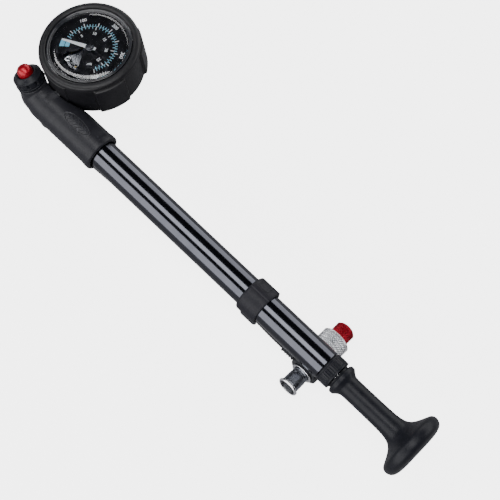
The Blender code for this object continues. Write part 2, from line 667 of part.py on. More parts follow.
def build_connector(hose_frame):
    centre = (CONNECTOR_X, 0, -HOSE_DISTANCE)
    body = tube("connector_body", CONNECTOR_R, 3.9, -4.6, 4.6, black_anodised(), hose_frame, "y", at=centre,
                edge=0.4)
    neck = rod("connector_neck", 2.9, -CONNECTOR_R - 0.6, -5.0, None, hose_frame, at=centre)
    combine(body, [neck], "UNION")

    sleeve = [(2.2, 16.4), (3.6, 16.4), (3.6, 3.65), (2.95, 3.65), (2.95, 2.35), (3.6, 2.35), (3.6, -2.35),
              (2.95, -2.35), (2.95, -3.65), (3.6, -3.65), (3.6, -5.9), (3.9, -5.9), (4.1, -12.4), (4.1, -13.1),
              (3.8, -13.1), (3.8, -14.2), (3.45, -14.2), (3.45, -6.2), (1.1, -6.2), (1.1, 3.4), (2.2, 3.4)]
    turned("valve_nozzle", sleeve, gloss_black(), hose_frame, "y", at=centre, sides=20, closed=True)
    lip = [(4.1, -13.4), (4.5, -13.4), (4.9, -13.7), (4.9, -14.3), (4.6, -14.7), (4.1, -14.7)]
    turned("nozzle_lip", lip, chrome(), hose_frame, "y", at=centre, sides=24, closed=True)
    tube("nozzle_washer", 5.2, 3.9, -5.6, -4.9, chrome(), hose_frame, "y", at=centre, sides=24)
    for number, place in enumerate((-3.0, 3.0), 1):
        ring_seal(f"nozzle_o_ring_{number}", place, 3.42, 0.28, black_rubber(), hose_frame, "y", at=centre)
    tube("nozzle_seal", 3.1, 1.4, -7.6, -6.5, black_rubber(), hose_frame, "y", at=centre, sides=SMALL_ROUND)
    tube("locking_ring", 6.95, 3.9, 4.9, 17.9, silver_anodised(), hose_frame, "y", at=centre, edge=0.5)
    knob = [(0, 25.0), (3.7, 25.0), (4.75, 23.9), (4.75, 18.2), (1.9, 18.2), (1.9, 4.6), (0, 4.6)]
    turned("release_knob", knob, red_anodised(), hose_frame, "y", at=centre, sides=24)
    rod("depressor_pin", 0.8, -9.4, 4.3, brass(), hose_frame, "y", at=centre, sides=TINY_ROUND)


# ---------------------------------------------------------------- putting it together

def stand_on_floor(pump):
    """Lifts the pump so that its box stands on Z = 0 with its middle over the origin."""
    bpy.context.view_layer.update()
    graph = bpy.context.evaluated_depsgraph_get()
    corners = []
    for obj in PARTS.objects:
        seen = obj.evaluated_get(graph)
        mesh = seen.to_mesh()
        corners += [seen.matrix_world @ v.co for v in mesh.vertices]
        seen.to_mesh_clear()
    low = [min(c[i] for c in corners) for i in range(3)]
    high = [max(c[i] for c in corners) for i in range(3)]
    pump.location = Vector((-(low[0] + high[0]) / 2, -(low[1] + high[1]) / 2, -low[2]))


def main():
    global PARTS, CUTTERS
    clear_scene()
    PARTS = make_collection("shock_pump")
    CUTTERS = make_collection("cutters")
    pump = frame_empty("pump_frame", (0, 0, 0), (0, 0, 0))
    hose_frame = frame_empty("hose_frame", (0, 0, 0), (-HOSE_TURN, 0, 0), pump)
    bleed_frame = frame_empty("bleed_frame", BLEED_FACE, (0, -BLEED_TILT, 0), pump)
    gauge_frame = frame_empty("gauge_frame", GAUGE_FRONT, (0, GAUGE_LEAN, 0), pump)
    build_barrel(pump)
    build_plunger(pump)
    build_handle(pump)
    build_head(pump, hose_frame, bleed_frame, gauge_frame)
    build_check_valve(pump)
    build_bleed_valve(bleed_frame)
    build_gauge_boot(gauge_frame)
    build_gauge_case(gauge_frame)
    build_dial(gauge_frame)
    build_movement(gauge_frame)
    build_bourdon(gauge_frame)
    build_clip(pump, hose_frame)
    build_hose(hose_frame)
    build_connector(hose_frame)
    smooth(PARTS.objects)
    stand_on_floor(pump)


main()
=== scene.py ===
"""Looks of the folded shock pump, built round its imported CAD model.

Every piece is drawn in millimetres in one of the pump's own frames: PUMP has its origin on the barrel's
axis at the head's lip, with X toward the grip and Z away from the floor. The other frames hang from it.
Profiles are lists of (radius, distance along Z), and a third number rounds that corner.
"""
import math

import bmesh
import bpy
from mathutils import Matrix, Vector


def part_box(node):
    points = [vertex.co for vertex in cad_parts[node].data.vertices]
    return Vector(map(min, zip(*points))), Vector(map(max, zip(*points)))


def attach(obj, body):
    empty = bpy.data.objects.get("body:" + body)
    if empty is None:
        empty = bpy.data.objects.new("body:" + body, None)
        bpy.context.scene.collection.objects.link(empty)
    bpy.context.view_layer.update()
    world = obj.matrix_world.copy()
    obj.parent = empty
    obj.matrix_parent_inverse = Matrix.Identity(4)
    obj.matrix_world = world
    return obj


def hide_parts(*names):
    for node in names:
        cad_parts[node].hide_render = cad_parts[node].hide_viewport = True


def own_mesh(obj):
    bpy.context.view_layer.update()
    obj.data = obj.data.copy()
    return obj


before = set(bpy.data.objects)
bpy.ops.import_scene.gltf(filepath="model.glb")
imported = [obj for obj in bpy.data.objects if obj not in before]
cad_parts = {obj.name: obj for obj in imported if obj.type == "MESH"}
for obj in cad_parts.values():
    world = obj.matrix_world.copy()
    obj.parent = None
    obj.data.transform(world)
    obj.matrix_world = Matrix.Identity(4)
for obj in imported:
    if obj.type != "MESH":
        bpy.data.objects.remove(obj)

MM = 0.001
TAU = 2.0 * math.pi
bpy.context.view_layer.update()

# ---------------------------------------------------------------- frames

barrel_low, barrel_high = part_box("barrel")
ORIGIN = Vector((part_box("head_body")[1].x, (barrel_low.y + barrel_high.y) / 2, (barrel_low.z + barrel_high.z) / 2))


def frame_in(base, offset=(0, 0, 0), degrees=0.0, axis="X"):
    """A frame inside another: moved by an offset in millimetres, then turned about one of its own axes."""
    return base @ Matrix.Translation(Vector(offset) * MM) @ Matrix.Rotation(math.radians(degrees), 4, axis)


CONNECTOR_X = 131.6         # the connector's axis, along the barrel
HOSE_DISTANCE = 14.4        # the hose's axis below the barrel's, at both ends
HOSE_NEAR = 10.5            # and where it runs closest to the barrel
HOSE_TILT = -8.0            # degrees that the hose's side is turned round the barrel
FOLD_X = -36.0
FOLD_R = 3.6                # the fold joint's knuckle, and half the width of its lugs
STEM_DEPTH = 14.6           # the gauge's stem, below the top of its boot
BOOT_R = 23.2
BLEED_AT, BLEED_TILT = (-45.7, 0.0, 7.3), -26.0
GAUGE_AT, GAUGE_TILT = (-35.4, 27.5, 20.0), -8.0
PLUG_AT = (-41.0, 0, -1.0)
CLIP_START, CLIP_END, CLIP_WALL = 91.7, 102.6, 8.5

LEVEL = Matrix.Identity(4)
PUMP = frame_in(Matrix.Translation(ORIGIN))
ALONG_X = frame_in(PUMP, degrees=90, axis="Y")
HOSE = frame_in(PUMP, degrees=HOSE_TILT)
HOSE_ALONG_X = frame_in(HOSE, (0, 0, -HOSE_DISTANCE), 90, "Y")
FOLD = frame_in(HOSE, (FOLD_X, 0, -HOSE_DISTANCE), -90)
CONNECTOR = frame_in(HOSE, (CONNECTOR_X, 0, -HOSE_DISTANCE), -90)
BLEED = frame_in(PUMP, BLEED_AT, BLEED_TILT, "Y")
GAUGE = frame_in(PUMP, GAUGE_AT, GAUGE_TILT, "Y")


# ---------------------------------------------------------------- materials

def link(tree, a, b):
    tree.links.new(a, b)


def add(tree, kind, **values):
    node = tree.nodes.new(kind)
    for key, value in values.items():
        setattr(node, key, value)
    return node


def noise(tree, coords, scale, stretch=(1, 1, 1), detail=3.0):
    """Noise of a given scale per metre, stretched along the object's axes."""
    place = add(tree, "ShaderNodeMapping")
    place.inputs["Scale"].default_value = stretch
    link(tree, coords, place.inputs["Vector"])
    tex = add(tree, "ShaderNodeTexNoise")
    tex.inputs["Scale"].default_value = scale
    tex.inputs["Detail"].default_value = detail
    link(tree, place.outputs["Vector"], tex.inputs["Vector"])
    return tex.outputs["Fac"]


def ranged(tree, value, low, high, start=0.3, end=0.7):
    """A value that runs from low to high as the one given runs from start to end."""
    node = add(tree, "ShaderNodeMapRange")
    node.inputs["From Min"].default_value = start
    node.inputs["From Max"].default_value = end
    node.inputs["To Min"].default_value = low
    node.inputs["To Max"].default_value = high
    link(tree, value, node.inputs["Value"])
    return node.outputs["Result"]


def mixed(tree, factor, a, b):
    """A colour mix; a and b are colours or sockets."""
    node = add(tree, "ShaderNodeMix", data_type="RGBA")
    link(tree, factor, node.inputs[0])
    for socket, colour in ((node.inputs[6], a), (node.inputs[7], b)):
        if isinstance(colour, tuple):
            socket.default_value = (*colour, 1.0)
        else:
            link(tree, colour, socket)
    return node.outputs[2]


GLASS_IOR = 1.5
COAT_ROUGHNESS = 0.08
EDGE_PATCH_SCALE = 2500.0
WEAR_AND_HIGHLIGHT_FROM, WEAR_AND_HIGHLIGHT_TO = 0.52, 0.62     # Pointiness of an edge, from plain to fully lightened
HOLLOW_SHADE_FROM, HOLLOW_SHADE_TO = 0.42, 0.5    # and of a hollow, from full painted shade to none


def finish(name, colour, other, rough, metallic=0.0, mottle=900.0, stretch=(1, 1, 1), grain=0.0, grain_scale=9000.0,
           grain_stretch=(1, 1, 1), wear_and_highlight=None, coat=0.0, transmission=0.0, hollow_shade=None, gloss=0.5):
    """A surface: two tones in slow noise, roughness between two values, fine bump, lighter edges and painted shade
    in hollows.

    colour and other are the two tones; rough is the roughness at its two ends; mottle and grain_scale are noise
    scales per metre; grain is the bump's height in millimetres; the edge colour lightens convex edges (wear on most
    finishes, a painted highlight on movement_steel), and the hollow colour is painted shade in hollows; gloss is the
    specular level.
    """
    mat = bpy.data.materials.new(name)
    mat.use_nodes = True
    tree = mat.node_tree
    shader = tree.nodes["Principled BSDF"]
    shader.inputs["Metallic"].default_value = metallic
    shader.inputs["IOR"].default_value = GLASS_IOR
    shader.inputs["Specular IOR Level"].default_value = gloss
    shader.inputs["Coat Weight"].default_value = coat
    shader.inputs["Coat Roughness"].default_value = COAT_ROUGHNESS
    shader.inputs["Transmission Weight"].default_value = transmission
    coords = add(tree, "ShaderNodeTexCoord").outputs["Object"]
    tone = mixed(tree, ranged(tree, noise(tree, coords, mottle, stretch), 0.0, 1.0), colour, other)
    # Convex edges are mixed toward the edge colour in noisy patches: wear on most finishes, and a painted highlight
    # on movement_steel.
    if wear_and_highlight:
        point = add(tree, "ShaderNodeNewGeometry").outputs["Pointiness"]
        edge_patches = ranged(tree, noise(tree, coords, EDGE_PATCH_SCALE), 0.5, 1.0)
        edge = add(tree, "ShaderNodeMath", operation="MULTIPLY")
        link(tree, ranged(tree, point, 0.0, 0.8, WEAR_AND_HIGHLIGHT_FROM, WEAR_AND_HIGHLIGHT_TO), edge.inputs[0])
        link(tree, edge_patches, edge.inputs[1])
        tone = mixed(tree, edge.outputs["Value"], tone, wear_and_highlight)
    # Painted shade: hollows, found by low Pointiness, are mixed toward the hollow colour.
    if hollow_shade:
        point = add(tree, "ShaderNodeNewGeometry").outputs["Pointiness"]
        tone = mixed(tree, ranged(tree, point, 1.0, 0.0, HOLLOW_SHADE_FROM, HOLLOW_SHADE_TO), tone, hollow_shade)
    link(tree, tone, shader.inputs["Base Color"])
    link(tree, ranged(tree, noise(tree, coords, mottle * 2.3, stretch), *rough), shader.inputs["Roughness"])
    if grain:
        bump = add(tree, "ShaderNodeBump")
        bump.inputs["Strength"].default_value = 0.6
        bump.inputs["Distance"].default_value = grain * MM
        link(tree, noise(tree, coords, grain_scale, grain_stretch, 2.0), bump.inputs["Height"])
        link(tree, bump.outputs["Normal"], shader.inputs["Normal"])
    return mat


RINGS = (0.04, 0.04, 1.0)     # noise stretched round an axis, as turning leaves it
# The hollow colours given to badge_plastic, silver_anodised and red_anodised are painted shade in their chevrons,
# grooves and knurls.
MATS = {
    "black_anodised": finish("black_anodised", (0.078, 0.08, 0.094), (0.068, 0.07, 0.083), (0.10, 0.15), 1.0,
                             mottle=220.0, grain=0.002, grain_scale=3000.0, grain_stretch=RINGS),
    "black_metal": finish("black_metal", (0.05, 0.052, 0.058), (0.036, 0.038, 0.043), (0.24, 0.36), 0.85,
                          mottle=600.0, grain=0.006, grain_scale=6000.0, wear_and_highlight=(0.2, 0.2, 0.21)),
    "charcoal_plastic": finish("charcoal_plastic", (0.0125, 0.0126, 0.016), (0.009, 0.0091, 0.012), (0.34, 0.46),
                               mottle=350.0, grain=0.012, grain_scale=3600.0, wear_and_highlight=(0.026, 0.026, 0.031),
                               gloss=0.2),
    "badge_plastic": finish("badge_plastic", (0.014, 0.0142, 0.018), (0.01, 0.0102, 0.0135), (0.32, 0.44),
                            mottle=350.0, grain=0.006, grain_scale=5000.0, wear_and_highlight=(0.05, 0.05, 0.06),
                            hollow_shade=(0.0015, 0.0015, 0.002), gloss=0.25),
    "soft_black_plastic": finish("soft_black_plastic", (0.008, 0.0085, 0.0115), (0.006, 0.0065, 0.009), (0.3, 0.42),
                                 mottle=300.0, grain=0.01, grain_scale=4200.0, wear_and_highlight=(0.025, 0.027, 0.033),
                                 gloss=0.15),
    "clip_plastic": finish("clip_plastic", (0.011, 0.011, 0.0145), (0.008, 0.008, 0.011), (0.4, 0.54),
                           mottle=500.0, grain=0.018, grain_scale=3600.0, wear_and_highlight=(0.06, 0.06, 0.07), gloss=0.16),
    "black_rubber": finish("black_rubber", (0.006, 0.006, 0.0075), (0.004, 0.004, 0.005), (0.34, 0.48),
                           mottle=420.0, grain=0.016, grain_scale=3000.0, wear_and_highlight=(0.03, 0.03, 0.034), gloss=0.27),
    "hose_rubber": finish("hose_rubber", (0.012, 0.012, 0.014), (0.008, 0.008, 0.01), (0.42, 0.6),
                          mottle=1300.0, grain=0.02, grain_scale=5200.0, wear_and_highlight=(0.04, 0.04, 0.042), gloss=0.25),
    "steel": finish("steel", (0.66, 0.67, 0.69), (0.56, 0.57, 0.59), (0.16, 0.3), 1.0, mottle=1500.0,
                    stretch=RINGS, grain=0.003, grain_scale=9000.0, grain_stretch=RINGS),
    # movement_steel: a dark steel whose convex edges are painted near-white, a painted highlight on the rims of the
    # plates and trim.
    "movement_steel": finish("movement_steel", (0.11, 0.113, 0.124), (0.03, 0.032, 0.036), (0.2, 0.4), 1.0,
                             mottle=2600.0, stretch=(1, 0.08, 1), grain=0.01, grain_scale=7000.0,
                             grain_stretch=(1, 0.06, 1), wear_and_highlight=(0.9, 0.9, 0.92)),
    "chrome": finish("chrome", (0.9, 0.9, 0.92), (0.84, 0.85, 0.87), (0.05, 0.11), 1.0, mottle=900.0,
                     grain=0.001, grain_scale=4000.0),
    "gloss_black": finish("gloss_black", (0.29, 0.305, 0.34), (0.225, 0.238, 0.27), (0.24, 0.32), 1.0,
                          mottle=400.0, grain=0.002, grain_scale=6000.0, grain_stretch=RINGS),
    "bezel_black": finish("bezel_black", (0.02, 0.021, 0.024), (0.014, 0.015, 0.018), (0.07, 0.13),
                          mottle=500.0, grain=0.001, grain_scale=5000.0, gloss=0.6),
    "silver_anodised": finish("silver_anodised", (0.86, 0.87, 0.89), (0.76, 0.77, 0.8), (0.2, 0.34), 1.0,
                              mottle=1200.0, grain=0.004, grain_scale=8000.0, wear_and_highlight=(0.97, 0.97, 0.98),
                              hollow_shade=(0.07, 0.07, 0.085)),
    "red_anodised": finish("red_anodised", (0.42, 0.012, 0.028), (0.3, 0.008, 0.018), (0.22, 0.36), 0.85,
                           mottle=1200.0, grain=0.004, grain_scale=8000.0, wear_and_highlight=(0.5, 0.06, 0.08),
                           hollow_shade=(0.06, 0.002, 0.004), gloss=0.2),
    "red_plastic": finish("red_plastic", (0.34, 0.004, 0.014), (0.25, 0.003, 0.009), (0.32, 0.4), 0.6,
                          mottle=500.0, grain=0.002, grain_scale=5000.0, coat=0.25, gloss=0.3),
    "brass": finish("brass", (0.74, 0.54, 0.22), (0.62, 0.43, 0.15), (0.22, 0.36), 1.0, mottle=1400.0,
                    grain=0.004, grain_scale=8000.0, wear_and_highlight=(0.9, 0.74, 0.4)),
    "dial_print": finish("dial_print", (0.006, 0.006, 0.008), (0.004, 0.0045, 0.006), (0.4, 0.55), mottle=900.0,
                         grain=0.004, grain_scale=9000.0, gloss=0.12),
    "mark_white": finish("mark_white", (0.74, 0.76, 0.78), (0.62, 0.64, 0.66), (0.5, 0.6), mottle=3000.0),
    "mark_cyan": finish("mark_cyan", (0.32, 0.62, 0.74), (0.22, 0.5, 0.64), (0.5, 0.6), mottle=3000.0),
    "zero_blue": finish("zero_blue", (0.2, 0.58, 0.78), (0.14, 0.5, 0.72), (0.5, 0.6), mottle=3000.0),
    "needle_white": finish("needle_white", (0.86, 0.88, 0.9), (0.78, 0.8, 0.83), (0.3, 0.42), mottle=2000.0,
                           grain=0.002, grain_scale=7000.0),
    "clear_lens": finish("clear_lens", (1.0, 1.0, 1.0), (0.97, 0.985, 1.0), (0.01, 0.03), transmission=1.0,
                         mottle=60.0, gloss=0.45),
}


# ---------------------------------------------------------------- shapes

def eased(profile, closed=False, steps=5):
    """Rounds each corner of a profile that has a third number: how far from the corner its curve starts."""
    made = []
    last = len(profile) - 1
    for i, entry in enumerate(profile):
        here = Vector(entry[:2])
        if len(entry) < 3 or (not closed and i in (0, last)):
            made.append(tuple(here))
            continue
        before = Vector(profile[i - 1][:2]) - here
        after = Vector(profile[(i + 1) % (last + 1)][:2]) - here
        start = here + before.normalized() * min(entry[2], before.length * 0.49)
        end = here + after.normalized() * min(entry[2], after.length * 0.49)
        for k in range(steps + 1):
            t = k / steps
            made.append(tuple(start * (1 - t) ** 2 + here * 2 * t * (1 - t) + end * t * t))
    return made


def flowing(points, rounds=3):
    """A smooth line through the corners of an open profile, by cutting them again and again."""
    line = [Vector(p) for p in points]
    for _ in range(rounds):
        cut = [line[0]]
        for a, b in zip(line, line[1:]):
            cut += [a * 0.75 + b * 0.25, a * 0.25 + b * 0.75]
        line = cut + [line[-1]]
    return [tuple(p) for p in line]


def straight(radius, start, end, count):
    """Points along a plain side, from start to end, for a relief to work on."""
    return [(radius, start + (end - start) * i / count) for i in range(count + 1)]


def revolve(profile, sides=96, closed=False, relief=None):
    """A turned shape from (radius, distance along Z). relief(angle, radius, z) moves a point outward."""
    work = bmesh.new()
    rings = []
    for r, z in profile:
        if r < 1e-6:
            rings.append([work.verts.new((0, 0, z * MM))])
            continue
        ring = []
        for k in range(sides):
            a = TAU * k / sides
            q = (r + (relief(a, r, z) if relief else 0.0)) * MM
            ring.append(work.verts.new((q * math.cos(a), q * math.sin(a), z * MM)))
        rings.append(ring)
    join_rings(work, rings, closed)
    return work


def join_rings(work, rings, closed=False):
    """Faces between rings of points; a ring of one point is a tip."""
    pairs = list(zip(rings, rings[1:]))
    if closed:
        pairs.append((rings[-1], rings[0]))
    sides = max(len(ring) for ring in rings)
    for low, high in pairs:
        for k in range(sides):
            n = (k + 1) % sides
            corners = [low[k % len(low)], low[n % len(low)], high[n % len(high)], high[k % len(high)]]
            face = list(dict.fromkeys(corners))
            if len(face) > 2:
                work.faces.new(face)


def ridge(x):
    """A saw that is 0 at whole numbers and 1 halfway between."""
    return 1.0 - abs(2.0 * (x - math.floor(x)) - 1.0)


def ramp(x, start, end):
    """A smooth step from 0 at start to 1 at end."""
    t = min(1.0, max(0.0, (x - start) / (end - start)))
    return t * t * (3 - 2 * t)


def diamonds(count, pitch, low, high, least_r, depth):
    """Relief of a diamond knurl between two places along the axis, on surfaces beyond a least radius."""
    def relief(a, r, z):
        if r < least_r or not low <= z <= high:
            return 0.0
        u, v = count * a / TAU, z / pitch
        top = min(1.0, 1.35 * min(ridge(u + v), ridge(u - v)))
        return -depth * (1.0 - top) * min(1.0, (z - low) / 0.35, (high - z) / 0.35)
    return relief


def grooves(count, low, high, least_r, depth, share=1.6):
    """Relief of straight grooves along the axis."""
    def relief(a, r, z):
        if r < least_r or not low <= z <= high:
            return 0.0
        top = min(1.0, share * ridge(count * a / TAU))
        return -depth * (1.0 - top) * min(1.0, (z - low) / 0.3, (high - z) / 0.3)
    return relief


def block(low, high, ease=0.0):
    """A box with rounded edges."""
    work = bmesh.new()
    bmesh.ops.create_cube(work, size=1.0)
    bmesh.ops.scale(work, vec=[(b - a) * MM for a, b in zip(low, high)], verts=work.verts)
    bmesh.ops.translate(work, vec=[(a + b) / 2 * MM for a, b in zip(low, high)], verts=work.verts)
    if ease:
        bmesh.ops.bevel(work, geom=work.edges[:], offset=ease * MM, segments=4, affect="EDGES", profile=0.5)
    return work


def merged(*works):
    """Several closed shells as one mesh."""
    mesh = bpy.data.meshes.new("joined")
    whole = bmesh.new()
    for work in works:
        work.to_mesh(mesh)
        work.free()
        whole.from_mesh(mesh)
        mesh.clear_geometry()
    bpy.data.meshes.remove(mesh)
    return whole


def loose(name, work, place=None):
    """A bare object for building with, at a place in the frame being worked in."""
    bmesh.ops.recalc_face_normals(work, faces=work.faces)
    mesh = bpy.data.meshes.new(name)
    work.to_mesh(mesh)
    work.free()
    obj = bpy.data.objects.new(name, mesh)
    bpy.context.scene.collection.objects.link(obj)
    if place:
        obj.matrix_world = place
    return obj


def carved(base, joined=(), cut=(), voxel=0.0, rounds=0):
    """base with others joined and cut, and its edges softened by a voxel size and rounds of smoothing."""
    for kind, others in (("UNION", joined), ("DIFFERENCE", cut)):
        for other in others:
            change = base.modifiers.new(kind.lower(), "BOOLEAN")
            change.operation = kind
            change.solver = "EXACT"
            change.object = other
    if voxel:
        remesh = base.modifiers.new("remesh", "REMESH")
        remesh.mode = "VOXEL"
        remesh.voxel_size = voxel * MM
        soft = base.modifiers.new("soft", "SMOOTH")
        soft.factor = 0.5
        soft.iterations = rounds
    bpy.context.view_layer.update()
    seen = base.evaluated_get(bpy.context.evaluated_depsgraph_get())
    mesh = bpy.data.meshes.new_from_object(seen)
    work = bmesh.new()
    work.from_mesh(mesh)
    work.transform(base.matrix_world)
    bpy.data.meshes.remove(mesh)
    for obj in (base, *joined, *cut):
        bpy.data.objects.remove(obj, do_unlink=True)
    return work


def outline_plate(outlines, bottom, top, bevel=0.0):
    """A flat plate from a closed outline and its holes."""
    curve = bpy.data.curves.new("plate", "CURVE")
    curve.dimensions = "2D"
    curve.fill_mode = "BOTH"
    curve.extrude = ((top - bottom) / 2 - bevel) * MM
    curve.bevel_depth = bevel * MM
    curve.bevel_resolution = 1
    for outline in outlines:
        spline = curve.splines.new("POLY")
        spline.points.add(len(outline) - 1)
        for point, (x, y) in zip(spline.points, outline):
            point.co = (x * MM, y * MM, 0.0, 1.0)
        spline.use_cyclic_u = True
    return from_curve(curve, Matrix.Translation((0, 0, (top + bottom) / 2 * MM)))


def from_curve(curve, place):
    """The closed mesh of a filled curve or a text."""
    guide = bpy.data.objects.new("guide", curve)
    bpy.context.scene.collection.objects.link(guide)
    bpy.context.view_layer.update()
    mesh = bpy.data.meshes.new_from_object(guide.evaluated_get(bpy.context.evaluated_depsgraph_get()))
    bpy.data.objects.remove(guide, do_unlink=True)
    work = bmesh.new()
    work.from_mesh(mesh)
    bpy.data.meshes.remove(mesh)
    bmesh.ops.remove_doubles(work, verts=work.verts, dist=1e-7)
    work.transform(place)
    return work


def arc(radius, start, end, count, centre=(0.0, 0.0)):
    """Points on a circle, from one angle in degrees to another."""
    angles = [math.radians(start + (end - start) * i / (count - 1)) for i in range(count)]
    return [(centre[0] + radius * math.cos(a), centre[1] + radius * math.sin(a)) for a in angles]


def circle(radius, count=96, centre=(0.0, 0.0)):
    return arc(radius, 0.0, 360.0 - 360.0 / count, count, centre)


# Finishes that are stretched along an axis: their pieces keep their own frame, and the others are drawn
# straight in the world, so that their boxes are no larger than they are.
BRUSHED = ("black_anodised", "steel", "gloss_black", "movement_steel")


def piece(name, work, place, mat, body, nodes=(), sharp=32.0):
    """A finished piece: it rides on a CAD body and stands for the CAD nodes given."""
    if mat not in BRUSHED:
        work.transform(place)
        place = None
    obj = loose(name, work, place)
    obj.data.shade_smooth()
    obj.data.set_sharp_from_angle(angle=math.radians(sharp))
    obj.data.materials.append(MATS[mat])
    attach(obj, body)
    if nodes:
        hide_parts(*nodes)
    return obj


def turned(name, profile, place, mat, body, nodes=(), sides=96, closed=False, relief=None, sharp=32.0):
    """A finished piece turned from a profile about its frame's Z."""
    return piece(name, revolve(eased(profile, closed), sides, closed, relief), place, mat, body, nodes, sharp)


# ---------------------------------------------------------------- barrel, cap, rod and handle

def build_barrel():
    profile = [(6.2, -9.7, 0.2), (6.2, 138.4, 0.2), (7.0, 138.4, 0.35), (7.0, -9.7, 0.35)]
    turned("barrel_tube", profile, ALONG_X, "black_anodised", "pump_body", ["barrel"], 128, True)

    rib_low, rib_high = 139.9, 143.7
    body = [(6.7, 138.7, 0.2), (7.15, 139.1, 0.2), (7.15, 139.5, 0.1), (6.95, 139.75, 0.1)]
    ribs = straight(7.15, rib_low, rib_high, 14)
    far = [(6.95, 143.85, 0.1), (7.15, 144.1, 0.1), (7.05, 144.8, 0.25), (3.4, 144.8, 0.15), (3.2, 144.5, 0.1),
           (3.2, 143.8), (4.5, 143.8), (4.5, 130.5), (5.9, 130.5, 0.2), (5.9, 138.7)]
    turned("end_cap_shell", body + ribs + far, ALONG_X, "soft_black_plastic", "pump_body", ["end_cap"],
           288, True, grooves(36, rib_low, rib_high, 7.1, 0.3, 2.4))
    turned("rod_guide", [(2.8, 131.0, 0.15), (4.2, 131.0, 0.2), (4.2, 143.5, 0.2), (2.8, 143.5, 0.15)], ALONG_X,
           "steel", "pump_body", ["rod_bush"], 64, True)


def build_handle():
    turned("pump_rod", [(0, 2.3), (2.5, 2.3, 0.3), (2.5, 164.7, 0.3), (0, 164.7)], ALONG_X, "steel", "grip",
           ["piston_rod"], 64)
    flange = eased([(2.8, 145.1), (5.7, 145.1, 0.2), (5.7, 145.9, 0.1), (6.5, 145.9, 0.3), (7.25, 146.5, 0.5),
                    (7.25, 148.2, 0.5), (6.2, 149.3, 0.5)])
    stem = flowing([(6.2, 149.3), (5.15, 150.7), (4.95, 152.5), (4.95, 160.0), (5.0, 168.0), (5.1, 173.0),
                    (5.35, 176.2), (6.2, 179.3), (8.0, 181.3), (10.8, 182.9), (13.2, 184.0), (15.0, 184.9),
                    (15.9, 186.6), (15.6, 188.6), (14.4, 190.3), (11.8, 191.3), (8.0, 191.68), (3.5, 191.7)])
    profile = [(0, 165.0), (2.8, 165.0), *flange, *stem[1:], (0, 191.7)]
    piece("handle_grip", revolve(profile, 128), ALONG_X, "soft_black_plastic", "grip", ["handle"],
          50.0)


# ---------------------------------------------------------------- head

def build_head():
    outside = [(0, 0.0), (8.7, 0.0, 0.3), (9.25, -0.6, 0.4), (9.25, -3.0, 0.5), (9.0, -4.2, 0.6), (9.0, -36.0, 3.0),
               (8.7, -40.0, 2.0), (7.9, -44.0, 2.0), (6.5, -47.4, 1.8), (4.2, -49.9, 1.4), (0, -51.0)]
    along_x = frame_in(LEVEL, degrees=90, axis="Y")
    base = loose("head_base", revolve(eased(outside), 128), along_x)
    bleed = frame_in(LEVEL, BLEED_AT, BLEED_TILT, "Y")
    gauge = frame_in(LEVEL, GAUGE_AT, GAUGE_TILT, "Y")
    hose = frame_in(LEVEL, degrees=HOSE_TILT)
    fold = frame_in(hose, (FOLD_X, 0, -HOSE_DISTANCE), -90)
    tilt = math.radians(GAUGE_TILT)
    stem_x = GAUGE_AT[0] - STEM_DEPTH * math.sin(tilt)
    stem_z = GAUGE_AT[2] - STEM_DEPTH * math.cos(tilt)

    def bar(name, radius, start, end, place):
        return loose(name, revolve([(0, start), (radius, start), (radius, end), (0, end)], 64), place)

    def box(name, low, high, place):
        return loose(name, block(low, high), place)

    joined = [bar("neck", 6.9, -11.0, 0.0, bleed),
              bar("shoulder", 6.8, -11.0, -0.2, frame_in(bleed, (0, 1.3, 0))),
              bar("boss", 4.2, -2.0, 6.0, frame_in(LEVEL, (stem_x, 0, stem_z - 0.5), -90)),
              box("lugs", (FOLD_X - FOLD_R, -FOLD_R, -HOSE_DISTANCE), (FOLD_X + FOLD_R, FOLD_R, -4.0), hose),
              bar("knuckle", FOLD_R, -FOLD_R, FOLD_R, fold)]
    socket = revolve([(0, 1.0), (7.3, 1.0), (7.3, -10.0), (4.3, -10.0), (4.3, -25.0), (0, -25.0)], 96)
    cut = [loose("socket", socket, along_x), bar("bleed_bore", 4.85, -6.4, 2.0, bleed),
           bar("passage", 1.3, -14.5, -6.0, bleed), bar("saddle", BOOT_R + 0.4, -20.9, 3.0, gauge),
           bar("stem_hole", 2.8, -1.2, 12.0, frame_in(LEVEL, (stem_x, 0, stem_z), -90)),
           box("slot", (FOLD_X - 11.6, -2.05, -25.0), (FOLD_X + 11.6, 2.05, -9.3), hose),
           bar("pin_hole", 1.75, -7.0, 7.0, fold),
           bar("plug_hole", 2.15, -12.0, -5.2, frame_in(LEVEL, PLUG_AT, -90))]
    work = carved(base, joined, cut, voxel=0.3, rounds=10)
    piece("head_moulding", work, PUMP, "charcoal_plastic", "pump_body", ["head_body"], 180.0)

    turned("head_lip_shadow_ring", [(7.1, -1.6, 0.1), (7.28, -1.6, 0.1), (7.28, -2.6, 0.1), (7.1, -2.6, 0.1)],
           ALONG_X, "black_rubber", "pump_body", (), 96, True)
    build_badge()

    def hexagon(a, r, z):
        """Turns the plug's round hollow into a six-sided one."""
        return 0.95 / math.cos((a % (TAU / 6)) - TAU / 12) - r if r < 1.2 else 0.0

    plug = [(0, -7.0), (1.0, -7.0), (1.0, -7.85), (1.5, -7.9, 0.15), (1.8, -7.6, 0.15), (1.8, -5.5), (0, -5.5)]
    turned("plug_screw", plug, frame_in(PUMP, PLUG_AT, -90), "black_metal", "pump_body",
           ["passage_plug"], 48, relief=hexagon)


